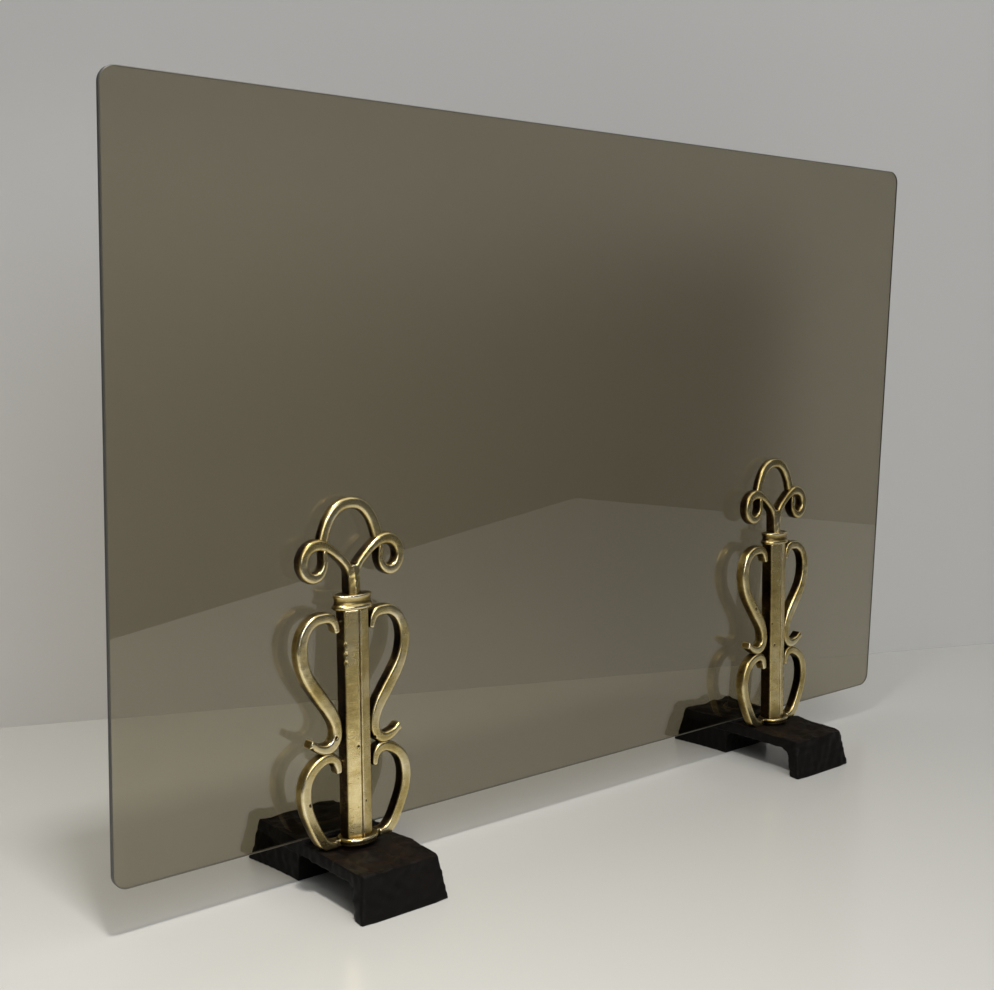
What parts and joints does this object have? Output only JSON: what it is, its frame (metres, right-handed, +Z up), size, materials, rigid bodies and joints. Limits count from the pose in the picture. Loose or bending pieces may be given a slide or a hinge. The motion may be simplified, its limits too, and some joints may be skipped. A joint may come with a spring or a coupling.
{
  "type": "glass fireplace screen",
  "caption": "Free-standing fireplace screen: a smoked glass sheet with rounded corners, held upright by brass scroll andirons on cast-iron bridge feet.",
  "frame": {"origin": "on the floor, in the middle of the whole object's box: half-way along the glass and half-way along the feet from front to back", "axes": "+X along the glass, to the right as seen from the front; +Y away from the viewer, from the brass uprights to the back of the screen; +Z up"},
  "size_m": [0.965, 0.1722, 0.6407],
  "materials": {
    "smoked_glass": "clear toughened glass, bronze-tinted through, polished faces and ground edges",
    "antique_brass": "antique patina, dark in the recesses, worn bright on the edges",
    "cast_iron": "black, hammered top with a brown oxide bloom",
    "steel": "zinc-plated, dulled",
    "rubber": "matt black"
  },
  "bodies": {
    "glass": {"glass_pane": "smoked_glass"},
    "left_andiron": {"left_foot": "cast_iron", "left_post": "antique_brass", "left_collar": "antique_brass", "left_fork": "antique_brass", "left_loop": "antique_brass", "left_upper_outer_scroll": "antique_brass", "left_upper_inner_scroll": "antique_brass", "left_lower_outer_scroll": "antique_brass", "left_lower_inner_scroll": "antique_brass", "left_base_flange": "antique_brass", "left_post_bolt": "steel", "left_bolt_washer": "steel", "left_bumper": "rubber"},
    "left_pad": {"left_glass_pad": "rubber"},
    "right_andiron": {"right_foot": "cast_iron", "right_post": "antique_brass", "right_collar": "antique_brass", "right_fork": "antique_brass", "right_loop": "antique_brass", "right_upper_outer_scroll": "antique_brass", "right_upper_inner_scroll": "antique_brass", "right_lower_outer_scroll": "antique_brass", "right_lower_inner_scroll": "antique_brass", "right_base_flange": "antique_brass", "right_post_bolt": "steel", "right_bolt_washer": "steel", "right_bumper": "rubber"},
    "right_pad": {"right_glass_pad": "rubber"}
  },
  "joints": [
    {"name": "glass_lift", "type": "slide", "parent": "left_andiron", "child": "left_pad", "axis": [0, 0, 1], "range_m": [0, 0.06]},
    {"name": "left_andiron_slide", "type": "slide", "parent": "left_pad", "child": "glass", "axis": [1, 0, 0], "range_m": [-0.15, 0.15]},
    {"name": "right_andiron_slide", "type": "slide", "parent": "glass", "child": "right_pad", "axis": [1, 0, 0], "range_m": [-0.15, 0.15]},
    {"name": "right_andiron_drop", "type": "slide", "parent": "right_pad", "child": "right_andiron", "axis": [0, 0, 1], "range_m": [-0.06, 0]}
  ],
  "couplings": [
    {"joint": "right_andiron_drop", "follows": "glass_lift", "ratio": -1}
  ]
}
